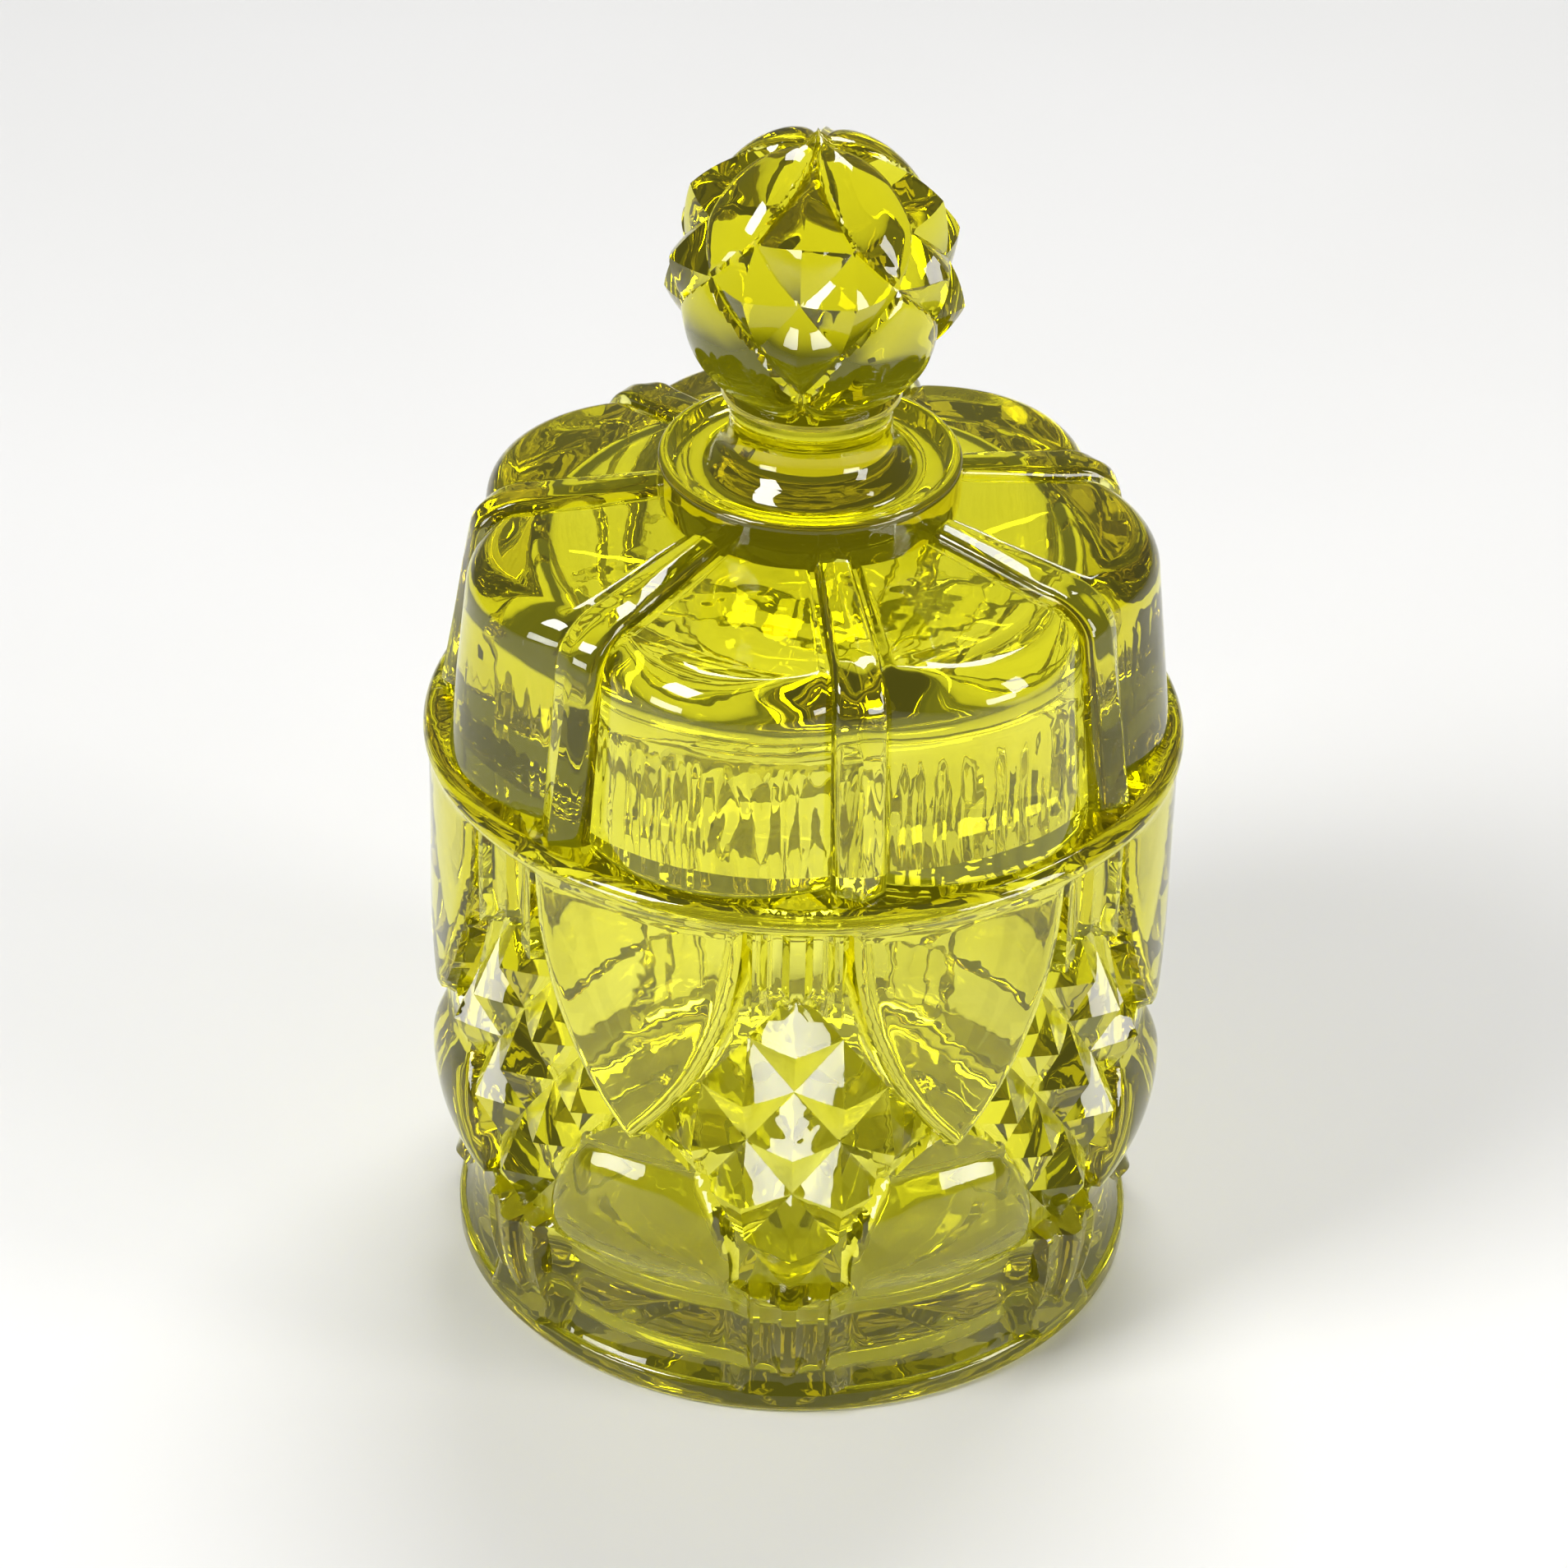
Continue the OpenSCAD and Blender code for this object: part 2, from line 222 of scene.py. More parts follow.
# ---------------------------------------------------------------- meshes from rings of points
class Shell:
    """A closed skin made of rings, in millimetres, each joined to the one before it."""

    def __init__(self):
        self.points, self.faces, self.last = [], [], None

    def add_points(self, xyz):
        start = len(self.points)
        self.points.extend(map(tuple, xyz))
        return np.arange(start, start + len(xyz))

    def pole(self, z, up):
        """A single point on the axis that closes the skin; up is True at its far end."""
        tip = self.add_points([(0, 0, z)])[0]
        if self.last is not None and up:
            ring = self.last
            self.faces += [(a, b, tip) for a, b in zip(ring, np.roll(ring, -1))]
        self.last = tip

    def ring(self, xyz, middle=None):
        """Joins a ring to the last one; middle gives true surface points in the middle of each quad."""
        new = self.add_points(xyz)
        old, self.last = self.last, new
        if old is None:
            return
        if np.ndim(old) == 0:
            self.faces += [(old, b, a) for a, b in zip(new, np.roll(new, -1))]
        elif len(old) == len(new):
            self.strip(old, new, middle)
        else:
            self.zipper(old, new)

    def strip(self, old, new, middle):
        """Joins equal rings by the diagonals nearer the true surface, or else the shorter ones."""
        p = np.array(self.points)
        a, b, c, d = old, np.roll(old, -1), np.roll(new, -1), new
        if middle is None:
            flip = np.linalg.norm(p[a] - p[c], axis=1) > np.linalg.norm(p[b] - p[d], axis=1) + 1e-7
        else:
            ac = np.linalg.norm((p[a] + p[c]) / 2 - middle, axis=1)
            bd = np.linalg.norm((p[b] + p[d]) / 2 - middle, axis=1)
            flip = ac > bd + 1e-7
        for i, turned in enumerate(flip):
            if turned:
                self.faces += [(a[i], b[i], d[i]), (b[i], c[i], d[i])]
            else:
                self.faces += [(a[i], b[i], c[i]), (a[i], c[i], d[i])]

    def zipper(self, old, new):
        """Joins two round rings with different numbers of points."""
        p = np.array(self.points)

        def turned(ring):
            angle = np.degrees(np.arctan2(p[ring, 1], p[ring, 0])) % 360
            order = np.argsort(angle)
            return ring[order], angle[order]

        (old, oa), (new, na) = turned(old), turned(new)
        i = j = 0
        while i < len(old) or j < len(new):
            next_old = oa[(i + 1) % len(old)] + (360 if i + 1 >= len(old) else 0)
            next_new = na[(j + 1) % len(new)] + (360 if j + 1 >= len(new) else 0)
            if j >= len(new) or (i < len(old) and next_old <= next_new):
                self.faces.append((old[i % len(old)], old[(i + 1) % len(old)], new[j % len(new)]))
                i += 1
            else:
                self.faces.append((old[i % len(old)], new[(j + 1) % len(new)], new[j % len(new)]))
                j += 1

    def sheet(self, angle, t, surface):
        """Adds a grid of rings: surface(angle, t) gives points; angle runs once round each row."""
        xyz = surface(angle, t)
        wide_a = np.hstack([angle, angle[:, :1] + 360])
        wide_t = np.hstack([t, t[:, :1]])
        mid_a = (wide_a[:-1, :-1] + wide_a[1:, :-1] + wide_a[:-1, 1:] + wide_a[1:, 1:]) / 4
        mid_t = (wide_t[:-1, :-1] + wide_t[1:, :-1] + wide_t[:-1, 1:] + wide_t[1:, 1:]) / 4
        middle = surface(mid_a, mid_t)
        for row in range(len(xyz)):
            self.ring(xyz[row], middle[row - 1] if row else None)

    def turned(self, angle, outline):
        """Adds rings of revolution for (radius, height) pairs."""
        for r, z in outline:
            self.ring(polar(angle, np.full(len(angle), float(r)), np.full(len(angle), float(z))))

    def build(self, name, lift, crease=30, facets_above=FAR, facet_crease=13):
        """Makes the object; edges that bend more than a crease angle are sharp."""
        points = np.array(self.points) * MM + np.array([0, 0, lift * MM])
        mesh = bpy.data.meshes.new(name)
        mesh.from_pydata(points.tolist(), [], [tuple(int(i) for i in f) for f in self.faces])
        bm = bmesh.new()
        bm.from_mesh(mesh)
        bmesh.ops.dissolve_degenerate(bm, dist=2e-7, edges=bm.edges)
        bmesh.ops.triangulate(bm, faces=bm.faces)
        bmesh.ops.recalc_face_normals(bm, faces=bm.faces)
        for face in bm.faces:
            face.smooth = True
        for edge in bm.edges:
            on_facets = edge.verts[0].co.z > (lift + facets_above) * MM
            limit = facet_crease if on_facets else crease
            edge.smooth = edge.calc_face_angle(0.0) < math.radians(limit)
        bm.to_mesh(mesh)
        bm.free()
        piece = bpy.data.objects.new(name, mesh)
        bpy.context.scene.collection.objects.link(piece)
        return piece


def polar(angle, r, z):
    a = np.radians(angle)
    return np.stack([r * np.cos(a), r * np.sin(a), z], axis=-1)


def arc(centre, radius, start, end):
    """Points (r, z) along an arc, at most 10 degrees apart, with angles from the outward direction."""
    steps = math.ceil(abs(end - start) / 10) + 1
    return [
        (centre[0] + radius * math.cos(math.radians(a)), centre[1] + radius * math.sin(math.radians(a)))
        for a in np.linspace(start, end, steps)
    ]


# ---------------------------------------------------------------- jar
def half_sector():
    """Angles from a column's middle to a panel's middle: the lattice, then the gap beside it."""
    lattice = np.arange(3 * CELLS + 1) * STUD_STEP / CELLS
    gap = np.linspace(lattice[-1], SECTOR / 2, 5)[1:]
    return np.concatenate([lattice, gap])


def around(half, centre):
    """Angles once round, from the half-sector's angles mirrored about each centre line."""
    one = np.concatenate([-half[:0:-1], half[:-1]])
    return np.concatenate([centre + k * SECTOR + one for k in range(FOLDS)])


def diamonds(u, z):
    """Height of the nine diamond points of one field, as a share of their full height."""
    high = np.zeros(u.shape)
    for row in range(-2, 3):
        for k in range(-(2 - abs(row)), 3 - abs(row), 2):
            across = np.abs(u / STUD_STEP - k)
            along = np.abs((z - MID_Z) / STUD_HALF - row)
            high = np.maximum(high, 1 - across - along)
    return high


def panel_x(u):
    """Distance sideways from the middle of the nearest panel."""
    return JAR_R * np.sin(np.radians(SECTOR / 2 - np.abs(u)))


def shield_height(u, z):
    """Radius of the upper panel, flat with a rounded edge; 0 outside it."""
    s = leaf_distance(panel_x(u), z, SHIELD_HALF, SHIELD_TOP, SHIELD_TIP)
    face = JAR_R - SHIELD_LIP * (1 - pillow(s, SHIELD_ROUND))
    wall = VALLEY_R + (JAR_R - SHIELD_LIP - VALLEY_R) * (1 + s / SHIELD_WALL)
    return np.where(s >= 0, face, np.where(s > -SHIELD_WALL, wall, 0))


def onion_height(u, z):
    """Radius of the lower panel, a dome that stops at its ledge; 0 outside it."""
    s = leaf_distance(panel_x(u), z, ONION_HALF, ONION_WIDE_Z, ONION_TOP)
    off = z - ONION_Z - ONION_BELLY / 2
    belly = JAR_R - ONION_BELLY + np.sqrt(np.maximum(ONION_BELLY**2 - off**2, 1))
    edge = VALLEY_R + ONION_LIP
    dome = np.maximum(edge + (belly - edge) * pillow(s, ONION_ROUND), edge)
    wall = VALLEY_R + ONION_LIP * (1 + s / ONION_WALL)
    inside = np.where(s >= 0, dome, np.where(s > -ONION_WALL, wall, 0))
    return np.where(z > ONION_Z, inside, 0)


def flutes(x, depth):
    """Two concave flutes side by side."""
    t = (np.abs(x) - FLUTE_AT) / FLUTE_HALF
    return depth * np.sqrt(np.maximum(1 - t * t, 0))


def column_height(u, z):
    """Radius of the fluted column between two shields; 0 outside it."""
    x = JAR_R * np.sin(np.radians(np.abs(u)))
    tip = MID_Z + 3 * STUD_HALF - x * 0.9
    inside = (x <= COLUMN_HALF + STRIP_WALL) & (z > tip)
    edge = np.clip((COLUMN_HALF + STRIP_WALL - x) / STRIP_WALL, 0, 1) * np.clip((z - tip) / 0.6, 0, 1)
    start = MID_Z + 2.5 * STUD_HALF + np.abs(x - FLUTE_AT) * 2.2
    depth = 1.15 * ease(0, 2.5, z - start)
    face = JAR_R - 0.7 - flutes(x, 1.0) * depth
    return np.where(inside, VALLEY_R + (face - VALLEY_R) * edge, 0)


def foot_rib_height(u, z):
    """Radius of the fluted rib that curves down to the foot; 0 outside it."""
    x = JAR_R * np.sin(np.radians(np.abs(u)))
    curve = JAR_R - 0.4 - 3.4 * np.clip((17.6 - z) / 14.2, 0, 1) ** 2.4
    face = curve - 0.16 * x - flutes(x, 0.8)
    edge = np.clip((RIB_HALF + STRIP_WALL - x) / STRIP_WALL, 0, 1)
    top = MID_Z - 3 * STUD_HALF + 0.25 * x
    base = scoop_floor(z)
    inside = (x <= RIB_HALF + STRIP_WALL) & (z <= top + 0.01)
    return np.where(inside, base + (face - base) * edge, 0)


def scoop_floor(z):
    """Radius of the concave hollow that flares out to the foot."""
    t = np.clip((z - FOOT_H) / (ONION_Z - FOOT_H), 0, 1)
    return VALLEY_R - 0.3 - 1.7 * np.sin(np.pi * t) ** 0.8 + 0.5 * (1 - t)


def scoop_height(u, z):
    """Radius of the hollow between two foot ribs, banked up at its sides."""
    side = (SECTOR / 2 - np.abs(u)) / (SECTOR / 2 - np.degrees(RIB_HALF / JAR_R))
    bank = 2.0 * ease(0.72, 1.0, side)
    return np.where(z <= ONION_Z, scoop_floor(z) + bank, 0)


def jar_radius(angle, z):
    """Radius of the jar's outside: the highest of its features, then the plain rim band."""
    u = fold(angle, FRONT, SECTOR)
    ground = np.where(z > ONION_Z, VALLEY_R, 0)
    studs = np.where(diamonds(u, z) > 0, VALLEY_R + STUD_HIGH * diamonds(u, z), 0)
    r = np.maximum.reduce([
        ground, studs, shield_height(u, z), onion_height(u, z),
        column_height(u, z), foot_rib_height(u, z), scoop_height(u, z),
    ])
    band = ease(SHIELD_TOP - 0.9, SHIELD_TOP, z)
    r = r * (1 - band) + (RIM_R - 0.45) * band
    return r + ripple(angle, z, 3, 0.03)


def jar_creases(x, z):
    """Nearest points on the creases of one half-sector, for snap()."""
    half_sector_x = JAR_R * math.radians(SECTOR / 2)
    p = half_sector_x - x
    found = []
    for grow in (0.0, SHIELD_WALL):
        px, pz = leaf_project(p, z, SHIELD_HALF, SHIELD_TOP, SHIELD_TIP, grow)
        found.append((half_sector_x - px, np.where(pz < SHIELD_TOP, pz, FAR)))
    px, pz = leaf_project(p, z, ONION_HALF, ONION_WIDE_Z, ONION_TOP)
    found.append((half_sector_x - px, np.where(pz > ONION_Z, pz, FAR)))
    tip_z = MID_Z + 3 * STUD_HALF
    for side in (COLUMN_HALF, FLUTE_AT - FLUTE_HALF, FLUTE_AT + FLUTE_HALF):
        low = tip_z - side * 0.9
        found.append(segment_project(x, z, (side, low), (side, SHIELD_TOP)))
    for side in (RIB_HALF, FLUTE_AT - FLUTE_HALF, FLUTE_AT + FLUTE_HALF):
        found.append(segment_project(x, z, (side, FOOT_H), (side, MID_Z - 3 * STUD_HALF)))
    found.append(segment_project(x, z, (0, tip_z), (COLUMN_HALF, tip_z - COLUMN_HALF * 0.9)))
    return found


def jar_side(shell, angle):
    """The patterned outside, from the foot up to the rim."""
    rows = np.concatenate([
        np.linspace(FOOT_H + 0.2, MID_Z - 3 * STUD_HALF, 19)[:-1],
        MID_Z + np.arange(-3 * CELLS, 3 * CELLS + 1) * STUD_HALF / CELLS,
        np.linspace(MID_Z + 3 * STUD_HALF, SHIELD_TOP, 14)[1:],
    ])
    a, z = np.meshgrid(angle, rows)
    u = fold(a, FRONT, SECTOR)
    x = JAR_R * np.radians(np.abs(u))
    cell = (JAR_R * math.radians(STUD_STEP / CELLS), STUD_HALF / CELLS)
    nx, nz = snap(x, z, cell, jar_creases(x, z))
    fixed = (np.abs(u) < 0.01) | (np.abs(np.abs(u) - SECTOR / 2) < 0.01)
    nx = np.where(fixed, x, nx)
    nz[0], nz[-1] = z[0], z[-1]
    moved = a + np.sign(u) * np.degrees((nx - x) / JAR_R)
    shell.sheet(moved, nz, lambda aa, zz: polar(aa, jar_radius(aa, zz), zz))


def star(angle, r):
    """Depth of the pressed star's rays under the foot."""
    off = np.abs(fold(angle, FRONT + SECTOR / 4, SECTOR / 2))
    reach = ease(3, 10, r) * (1 - ease(HOLLOW_R - 4, HOLLOW_R - 1.5, r))
    return 1.1 * reach * np.maximum(0, 1 - off / 5.5)


def jar_underside(shell, angle):
    """Hollow with the star, standing ring and the edge of the foot disc."""
    shell.pole(HOLLOW_T, up=False)
    for r in np.concatenate([[1.5, 3], np.linspace(5, HOLLOW_R - 1.4, 16)]):
        radius = np.full(len(angle), r)
        shell.ring(polar(angle, radius, HOLLOW_T + star(angle, radius)))
    shell.turned(angle, arc((HOLLOW_R - 1.2, 0.4), 1.2, 90, 20)[1:])
    shell.turned(angle, [(HOLLOW_R + 0.5, 0.15), (HOLLOW_R + 1.2, 0), (FOOT_R - 3, 0), (FOOT_R - 1.3, 0)])
    shell.turned(angle, arc((FOOT_R - 1.1, 1.1), 1.1, -75, 0))
    shell.turned(angle, arc((FOOT_R - 0.9, FOOT_H - 0.9), 0.9, 0, 80))


def jar_rim_and_bore(shell, angle):
    """Rounded rim, plain wall of the bore and its floor."""
    top = JAR_TOP
    shell.turned(angle, [(RIM_R - 0.2, SHIELD_TOP + 0.4), (RIM_R - 0.07, SHIELD_TOP + 0.9)])
    shell.turned(angle, arc((RIM_R - 1.95, top - 1.9), 1.9, 0, 90))
    shell.turned(angle, [((RIM_R + BORE_R) / 2, top)])
    shell.turned(angle, arc((BORE_R + 0.9, top - 0.9), 0.9, 90, 180))
    for z in np.linspace(top - 2.5, FLOOR_Z + BORE_CORNER + 1, 22):
        shell.ring(polar(angle, BORE_R + ripple(angle, z, 11, 0.02), np.full(len(angle), z)))
    shell.turned(angle, arc((BORE_R - BORE_CORNER, FLOOR_Z + BORE_CORNER), BORE_CORNER, 0, -90))
    shell.turned(angle, [(r, FLOOR_Z - 0.2 * (1 - r / 26)) for r in (24, 19, 14, 9, 5, 2)])
    shell.pole(FLOOR_Z - 0.2, up=True)


def make_jar():
    shell = Shell()
    angle = around(half_sector(), FRONT)
    jar_underside(shell, angle)
    jar_side(shell, angle)
    jar_rim_and_bore(shell, angle)
    return shell.build("glass_jar", 0)


# ---------------------------------------------------------------- lid
LID_FRONT = FRONT + LID_TURN
RIB_STEPS = np.array([0, 0.2, 0.4, 0.6, 0.72, 0.82, 0.9, 0.96, 1.0])
RIB_ROUND = 0.9
WALL_COLUMNS = 2
LOBE_COLUMNS = 20
RIB_WALL = 0.5


def lid_angles(r, half_width):
    """Angles round one ring of the lid, with columns kept on the ribs' edges."""
    rib = np.degrees(np.arcsin(RIB_STEPS * half_width / r))
    wall_end = np.degrees(np.arcsin((half_width + RIB_WALL) / r))
    wall = np.linspace(rib[-1], wall_end, WALL_COLUMNS + 1)[1:]
    lobe = np.linspace(wall_end, SECTOR / 2, LOBE_COLUMNS + 1)[1:]
    return around(np.concatenate([rib, wall, lobe]), LID_FRONT)


def lobe_radius(angle):
    """Scalloped outline of the seven lobes, seen from above."""
    off = np.radians(fold(angle, LID_FRONT + SECTOR / 2, SECTOR))
    centre = LID_FOOT_R - LOBE_R
    return centre * np.cos(off) + np.sqrt(LOBE_R**2 - (centre * np.sin(off)) ** 2)


def rib_share(angle, r, half_width):
    """0 at a rib's middle, 1 at its edge, and one more for each RIB_WALL of distance past it."""
    x = r * np.sin(np.radians(np.abs(fold(angle, LID_FRONT, SECTOR))))
    return np.where(x <= half_width, x / half_width, 1 + (x - half_width) / RIB_WALL)


def lid_outline():
    """Rows of (r, z, normal's angle, rib's half width, lobe share), from the ring to the foot."""
    shoulder_c = (LID_R - SHOULDER, LID_H - SHOULDER)
    rows = []
    for t in np.linspace(0, 1, 15)[:-1]:
        r = RING_R - 0.1 + (shoulder_c[0] - RING_R) * t
        half = BAR_HALF_IN + (BAR_HALF_OUT - BAR_HALF_IN) * t
        rows.append((r, LID_H + CROWN * (1 - t) ** 1.15, 84, half, t * t))
    for a in np.linspace(80, LID_DRAFT, 12):
        c, s = math.cos(math.radians(a)), math.sin(math.radians(a))
        half = BAR_HALF_OUT + (LID_RIB_HALF - BAR_HALF_OUT) * (80 - a) / (80 - LID_DRAFT)
        rows.append((shoulder_c[0] + SHOULDER * c, shoulder_c[1] + SHOULDER * s, a, half, 1))
    low = rows[-1]
    for t in np.linspace(0, 1, 19)[1:]:
        z = low[1] * (1 - t) + 0.7 * t
        r = low[0] + (low[1] - z) * math.tan(math.radians(LID_DRAFT))
        rows.append((r, z, LID_DRAFT, LID_RIB_HALF, 1))
    return rows


def lid_row(r, z, normal, half_width, lobe_share):
    """One ring of the lid's outside: the lobes with the ribs standing out along the normal."""
    angle = lid_angles(r, half_width)
    lobes = r + (lobe_radius(angle) - LID_FOOT_R) * lobe_share
    share = rib_share(angle, r, half_width)
    inside = np.minimum(share, 1)
    edge = pillow((1 - inside) * half_width, RIB_ROUND)
    upright = ease(75, 15, normal) if normal < 75 else 0.0
    bar = EDGE_HIGH * edge + BAR_RIDGE * (1 - inside)
    skirt = EDGE_HIGH * edge + (RIB_RIDGE - RIB_TAPER * z / LID_H) * (1 - inside)
    high = bar * (1 - upright) + skirt * upright
    n = math.radians(normal)
    sink = 0.3 * np.clip(share - 2, 0, 1) * (1 - upright)
    radius = lobes + high * math.cos(n) + ripple(angle, z, 5, 0.03)
    height = z + (high + sink - 0.3) * math.sin(n) + ripple(angle, r, 6, 0.03) * math.sin(n)
    return polar(angle, radius, height)


def streaks(angle, z):
    """Fine upright tool marks on the wall of the lid's hollow."""
    rng = np.random.default_rng(21)
    total = np.zeros(len(angle))
    for _ in range(8):
        turns, phase = rng.integers(50, 120), rng.uniform(0, 6.28)
        total += np.sin(np.radians(angle) * turns + phase + 0.4 * math.sin(z * rng.uniform(0.3, 0.9)))
    return total * 0.02


def lid_inside(shell, angle):
    """Hollow and collar, from the middle of the ceiling out to the seat."""
    ceiling = LID_H - LID_SOLID
    corner = 4
    shell.pole(ceiling + 0.6, up=False)
    shell.turned(angle, [(r, ceiling + 0.6 * (1 - (r / 28) ** 2)) for r in (2, 5, 9, 13, 17, 21, 25)])
    shell.turned(angle, arc((LID_HOLLOW_R - corner, ceiling - corner), corner, 85, 0))
    for z in np.linspace(ceiling - corner - 1.5, 1.0 - COLLAR_H, 12):
        r = LID_HOLLOW_R + 0.02 * (ceiling - z) + streaks(angle, z)
        shell.ring(polar(angle, r, np.full(len(angle), z)))
    shell.turned(angle, arc((LID_HOLLOW_R + 1.1, 0.7 - COLLAR_H), 0.7, 200, 270))
    shell.turned(angle, arc((COLLAR_R - 0.8, 0.8 - COLLAR_H), 0.8, -90, 0))
    shell.turned(angle, [(COLLAR_R, -1.2), (COLLAR_R, -0.3), (COLLAR_R + 0.3, SEAT_GAP)])


def lid_seat(shell, angle, foot):
    """Flat underside of the skirt, out to the rounded foot of lobes and ribs."""
    reach = np.hypot(foot[:, 0], foot[:, 1])
    for share in (0.35, 0.7, 1.0):
        r = COLLAR_R + 0.3 + (reach - 0.7 - COLLAR_R - 0.3) * share
        shell.ring(polar(angle, r, np.full(len(angle), SEAT_GAP)))
    shell.ring(polar(angle, reach - 0.2, np.full(len(angle), SEAT_GAP + 0.2)))


def ring_and_neck():
    """(r, z) from the top of the lid up over the ring to the underside of the ball."""
    top = LID_H + CROWN + RING_H
    return [
        (RING_R, top - 5.0), (RING_R + 0.05, top - 3.0), (RING_R, top - 1.2),
        *arc((RING_R - 0.8, top - 0.8), 0.8, 10, 100),
        (RING_R - 1.3, top - 0.25), (RING_R - 1.9, top - 0.95), (RING_R - 2.8, top - 1.4),
        (RING_R - 4.0, top - 1.5), (RING_R - 5.0, top - 1.35), (RING_R - 5.6, top - 0.9),
        (RING_R - 6.0, top - 0.2), (RING_R - 6.7, top + 0.5), (RING_R - 7.5, top + 1.3),
        (RING_R - 8.0, top + 2.4), (RING_R - 8.2, top + 3.8), (RING_R - 8.2, top + 5.2),
        (RING_R - 8.0, top + 6.5), (RING_R - 7.5, top + 7.4), (RING_R - 7.2, top + 8.1),
        (RING_R - 7.3, top + 8.8), (RING_R - 7.9, top + 9.3),
    ]


KNOB_FRONT = LID_FRONT + KNOB_TURN
# Corners of one knob field, as (angle from the field's middle, elevation); heights are 1 at the peaks
TOP, CROSS, WAIST, TIP, HIP, LOW = (0, 88), (0, 12.5), (26, 35), (45, 14.5), (18, -10), (0, -40)
PEAK_TOP, PEAK_SIDE, PEAK_LOW = (0, 35), (22, 12.5), (0, -10)
FACETS = [
    (PEAK_TOP, TOP, WAIST), (PEAK_TOP, WAIST, CROSS),
    (PEAK_SIDE, WAIST, CROSS), (PEAK_SIDE, CROSS, HIP), (PEAK_SIDE, WAIST, TIP), (PEAK_SIDE, TIP, HIP),
    (PEAK_LOW, CROSS, HIP), (PEAK_LOW, HIP, LOW),
]


def field_height(a, e):
    """Share of the peak height inside one knob field, by straight facets in angle and elevation."""
    high = np.zeros(a.shape)
    for (px, py), (qx, qy), (rx, ry) in FACETS:
        area = (qx - px) * (ry - py) - (rx - px) * (qy - py)
        wq = ((a - px) * (ry - py) - (rx - px) * (e - py)) / area
        wr = ((qx - px) * (e - py) - (a - px) * (qy - py)) / area
        wp = 1 - wq - wr
        inside = (wp >= -1e-6) & (wq >= -1e-6) & (wr >= -1e-6)
        high = np.where(inside, np.maximum(high, wp), high)
    return high


def field_edge(e):
    """Angle from the field's middle to its edge at an elevation."""
    corners = [LOW, HIP, TIP, WAIST, (0, 90)]
    return np.interp(e, [c[1] for c in corners], [c[0] for c in corners], left=0, right=0)


def ball_radius(angle, e):
    """Radius of the ball's skin: diamond points inside the fields, smooth petals between them."""
    a = np.abs(fold(angle, KNOB_FRONT, 90))
    studs = BALL_R + BALL_STUD * field_height(a, e)
    inward = (a - field_edge(e)) * np.radians(1) * BALL_R * np.maximum(np.cos(np.radians(e)), 0.12)
    full = 0.55 + 0.9 * ease(-12, -45, e) + 0.8 * ease(35, 75, e)
    petals = BALL_R + 0.3 * np.clip(inward / 0.35, 0, 1) + full * pillow(inward, 3.6)
    point = ease(84, 90, e) * 1.0
    r = np.where(inward > 0, petals, studs + 0.8 * ease(60, 86, e))
    return r + point + ripple(angle, e * 0.3, 8, 0.015)


def ball_creases(a, e):
    """Nearest points on the creases of half a knob field, for snap()."""
    lines = [
        (CROSS, WAIST), (CROSS, HIP), (PEAK_TOP, WAIST), (CROSS, PEAK_SIDE), (PEAK_SIDE, TIP),
        (WAIST, PEAK_SIDE), (PEAK_SIDE, HIP), (PEAK_LOW, HIP), (WAIST, TIP), (TIP, HIP),
        (HIP, LOW), (WAIST, (0, 90)),
    ]
    return [segment_project(a, e, *line) for line in lines]


def ball(shell):
    """The patterned ball, from the neck up to its point."""
    steps = 60
    rows = np.concatenate([np.linspace(-56, 84, 74), [86, 87.5, 89]])
    turn = KNOB_FRONT + np.arange(4 * steps) * 90 / steps
    angle, e = np.meshgrid(turn, rows)
    off = fold(angle, KNOB_FRONT, 90)
    a = np.abs(off)
    na, ne = snap(a, e, (90 / steps, 140 / 73), ball_creases(a, e))
    na = np.where((a < 0.01) | (a > 44.99), a, na)
    ne[0], ne[-3:] = e[0], e[-3:]
    na[-3:] = a[-3:]
    moved = angle + np.sign(off) * (na - a)

    def surface(aa, ee):
        r = ball_radius(aa, ee)
        return polar(aa, r * np.cos(np.radians(ee)), BALL_Z + r * np.sin(np.radians(ee)))

    shell.sheet(moved, ne, surface)
    shell.pole(LID_TOP - JAR_TOP - 0.02, up=True)


def make_lid():
    shell = Shell()
    outline = lid_outline()
    foot_r, _, _, foot_w, _ = outline[-1]
    angle = lid_angles(foot_r, foot_w)
    lid_inside(shell, angle)
    rows = [lid_row(*row) for row in outline]
    lid_seat(shell, angle, rows[-1])
    for row in reversed(rows):
        shell.ring(row)
    ring_r, _, _, ring_w, _ = outline[0]
    shell.turned(lid_angles(ring_r, ring_w), ring_and_neck())
    ball(shell)
    return shell.build("glass_lid", JAR_TOP, facets_above=NECK_TOP)


# ---------------------------------------------------------------- materials
def new_material(name):
    """A node material with its node tree, links and main shader."""
    material = bpy.data.materials.new(name)
    material.use_nodes = True
    nodes, links = material.node_tree.nodes, material.node_tree.links
    return material, nodes, links, nodes["Principled BSDF"]


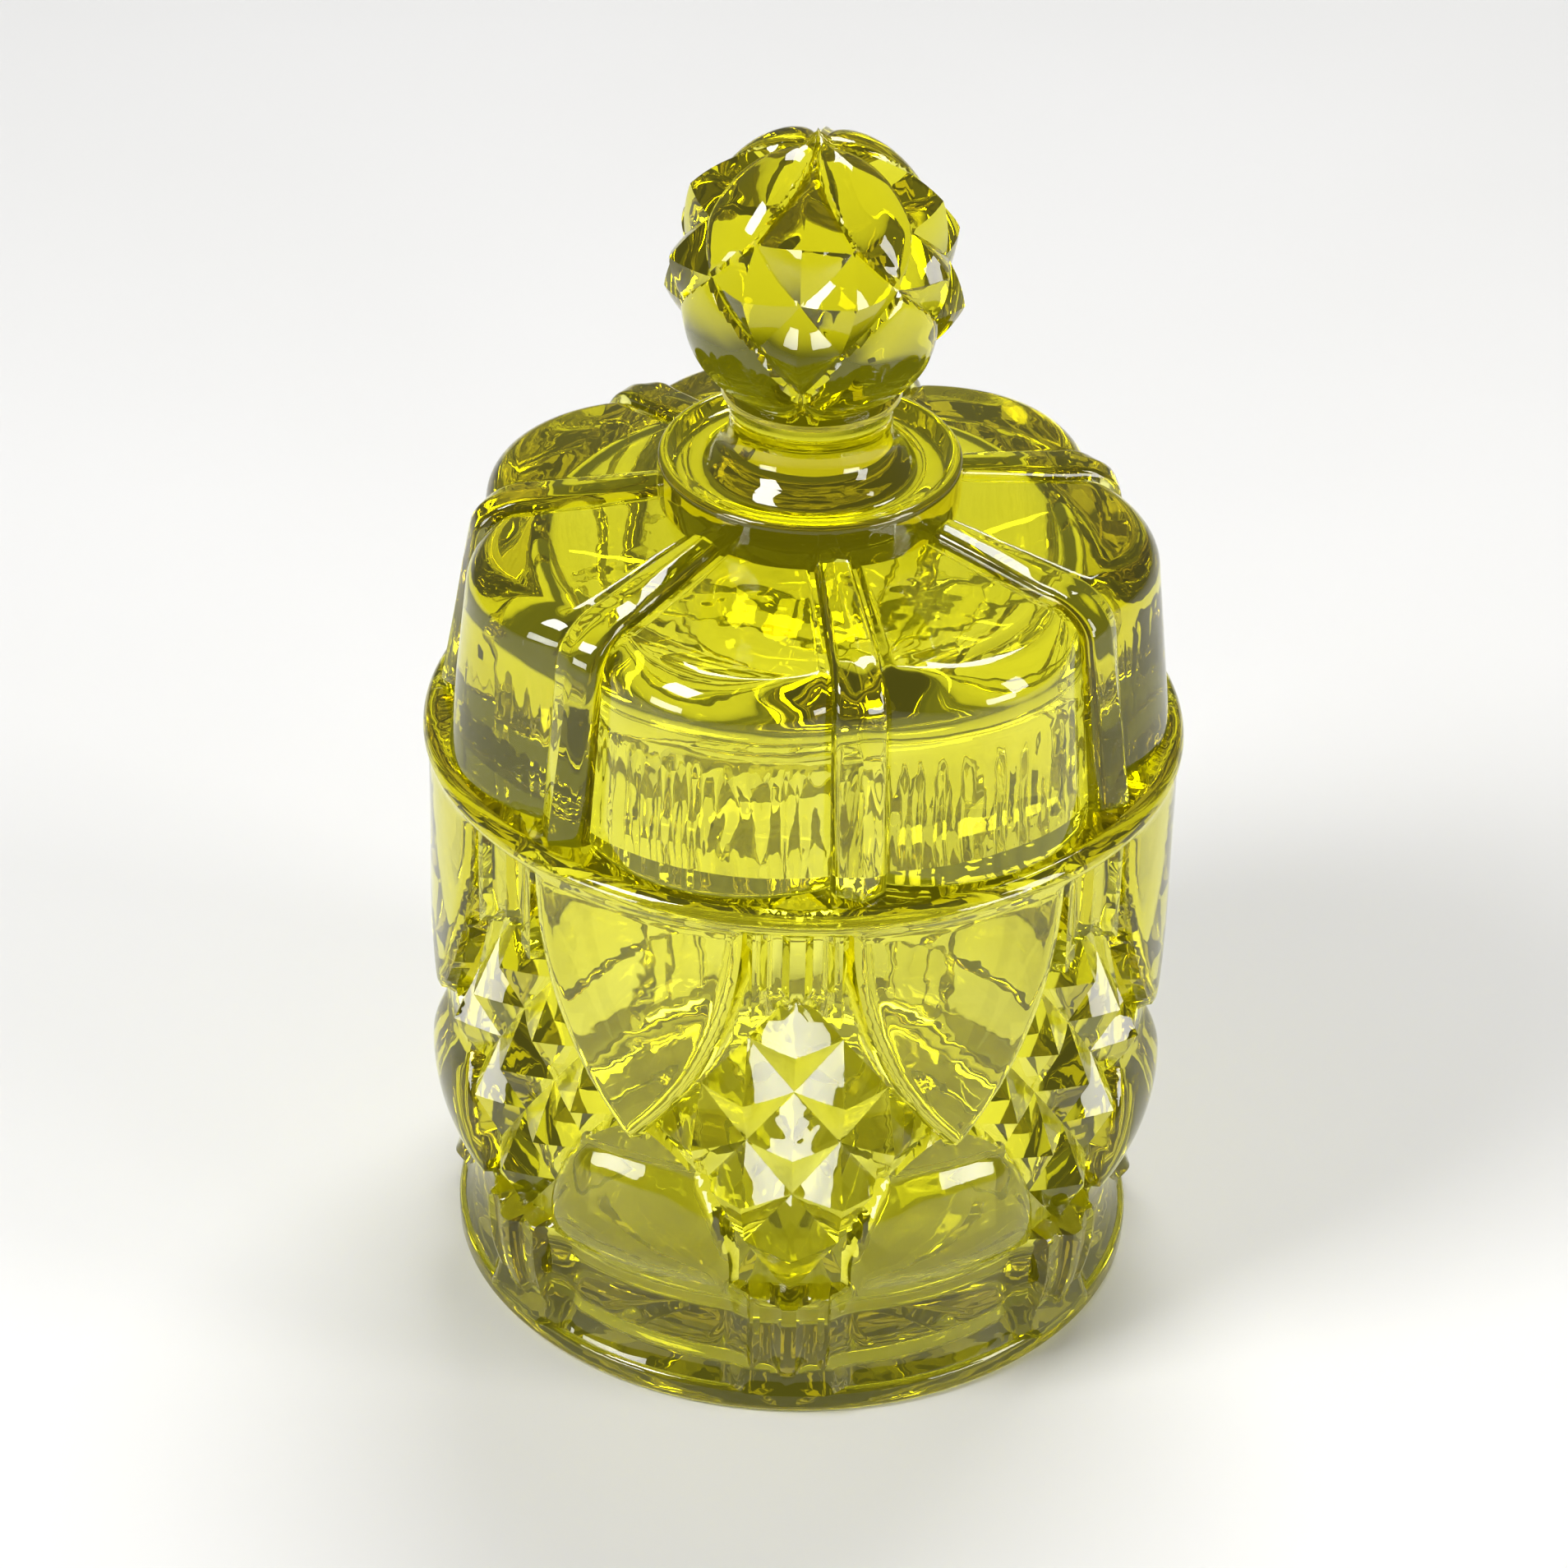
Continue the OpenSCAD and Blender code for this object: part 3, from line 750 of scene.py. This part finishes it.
def glass(name, seed_offset):
    """Yellow-green pressed glass: clear, wavy, faintly smeared, with a faint painted glow, coloured by
    its depth.
    """
    material, nodes, links, shader = new_material(name)
    shader.inputs["Transmission Weight"].default_value = 1.0
    shader.inputs["IOR"].default_value = GLASS_IOR
    # Painted light: a faint emission glow that lifts the glass's shaded parts towards olive
    shader.inputs["Emission Color"].default_value = PAINTED_GLOW_COLOUR
    shader.inputs["Emission Strength"].default_value = PAINTED_GLOW_STRENGTH
    place = nodes.new("ShaderNodeTexCoord")
    shift = nodes.new("ShaderNodeMapping")
    shift.inputs["Location"].default_value = (seed_offset, 0.0, seed_offset * 0.5)
    links.new(place.outputs["Object"], shift.inputs["Vector"])

    def noise(scale, detail):
        node = nodes.new("ShaderNodeTexNoise")
        node.inputs["Scale"].default_value = scale
        node.inputs["Detail"].default_value = detail
        links.new(shift.outputs["Vector"], node.inputs["Vector"])
        return node

    def spread(source, low, high, out_low, out_high):
        node = nodes.new("ShaderNodeMapRange")
        node.inputs["From Min"].default_value = low
        node.inputs["From Max"].default_value = high
        node.inputs["To Min"].default_value = out_low
        node.inputs["To Max"].default_value = out_high
        links.new(source, node.inputs["Value"])
        return node

    smears = spread(noise(60.0, 5.0).outputs["Fac"], 0.45, 0.8, 0.0, 0.05)
    links.new(smears.outputs["Result"], shader.inputs["Roughness"])
    tint = nodes.new("ShaderNodeMix")
    tint.data_type = "RGBA"
    tint.inputs["A"].default_value = (1.0, 0.995, 0.90, 1)
    tint.inputs["B"].default_value = (0.98, 1.0, 0.86, 1)
    links.new(noise(25.0, 2.0).outputs["Fac"], tint.inputs["Factor"])
    links.new(tint.outputs["Result"], shader.inputs["Base Color"])
    waves = nodes.new("ShaderNodeBump")
    waves.inputs["Strength"].default_value = 0.12
    waves.inputs["Distance"].default_value = 0.0006
    links.new(noise(160.0, 2.0).outputs["Fac"], waves.inputs["Height"])
    links.new(waves.outputs["Normal"], shader.inputs["Normal"])
    depth = nodes.new("ShaderNodeVolumeAbsorption")
    depth.inputs["Color"].default_value = DEPTH_COLOUR
    depth.inputs["Density"].default_value = DEPTH_DENSITY
    links.new(depth.outputs["Volume"], nodes["Material Output"].inputs["Volume"])
    return material


def floor_material():
    """Pale matt floor with a faint grain."""
    material, nodes, links, shader = new_material("pale_floor")
    grain = nodes.new("ShaderNodeTexNoise")
    grain.inputs["Scale"].default_value = 30.0
    tone = nodes.new("ShaderNodeMix")
    tone.data_type = "RGBA"
    tone.inputs["A"].default_value = (0.72, 0.715, 0.70, 1)
    tone.inputs["B"].default_value = (0.76, 0.755, 0.745, 1)
    links.new(grain.outputs["Fac"], tone.inputs["Factor"])
    links.new(tone.outputs["Result"], shader.inputs["Base Color"])
    shader.inputs["Roughness"].default_value = 0.6
    return material


# ---------------------------------------------------------------- studio
def make_floor():
    half, thick = 1.5, 0.02
    bm = bmesh.new()
    bmesh.ops.create_cube(bm, size=1.0)
    bmesh.ops.scale(bm, vec=(2 * half, 2 * half, thick), verts=bm.verts)
    bmesh.ops.translate(bm, vec=(0, 0.3, -thick / 2 - 0.0001), verts=bm.verts)
    mesh = bpy.data.meshes.new("floor")
    bm.to_mesh(mesh)
    bm.free()
    floor = bpy.data.objects.new("floor", mesh)
    bpy.context.scene.collection.objects.link(floor)
    mesh.materials.append(floor_material())


def area_light(name, place, size, power, colour, spread):
    data = bpy.data.lights.new(name, "AREA")
    data.shape = "RECTANGLE"
    data.size, data.size_y = size
    data.energy = power
    data.color = colour
    data.spread = math.radians(spread)
    light = bpy.data.objects.new(name, data)
    bpy.context.scene.collection.objects.link(light)
    light.location = place
    light.rotation_euler = (Vector(LIGHT_AIM) - Vector(place)).to_track_quat("-Z", "Y").to_euler()


def make_world():
    """Dim even surroundings, plain colours, and enough bounces for thick patterned glass."""
    scene = bpy.context.scene
    scene.view_settings.view_transform = "Standard"
    scene.cycles.max_bounces = 20
    scene.cycles.transmission_bounces = 20
    world = bpy.data.worlds.new("studio")
    scene.world = world
    world.use_nodes = True
    background = world.node_tree.nodes["Background"]
    background.inputs["Color"].default_value = (0.55, 0.57, 0.6, 1)
    background.inputs["Strength"].default_value = 0.25


def make_camera():
    """Camera at the photograph's angle: it looks down by 33 degrees, slightly rolled."""
    data = bpy.data.cameras.new("camera")
    data.sensor_width = 36.0
    data.lens = CAMERA_LENS
    camera = bpy.data.objects.new("camera", data)
    bpy.context.scene.collection.objects.link(camera)
    place = Vector(CAMERA_PLACE)
    turn = (Vector(CAMERA_AIM) - place).to_track_quat("-Z", "Y").to_matrix().to_4x4()
    roll = Matrix.Rotation(math.radians(CAMERA_ROLL), 4, "Z")
    camera.matrix_world = Matrix.Translation(place) @ turn @ roll
    bpy.context.scene.camera = camera


# ---------------------------------------------------------------- build
def finish_piece(piece, node, slot, seed_offset):
    """Gives a piece its glass and lets it stand for its CAD node."""
    piece.data.materials.append(glass(f"{slot}_material", seed_offset))
    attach(piece, node)
    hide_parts(node)


finish_piece(make_jar(), "jar", "jar_glass", 0.0)
finish_piece(make_lid(), "lid", "lid_glass", 0.37)
make_floor()
make_world()
for light in LIGHTS:
    area_light(*light)
make_camera()
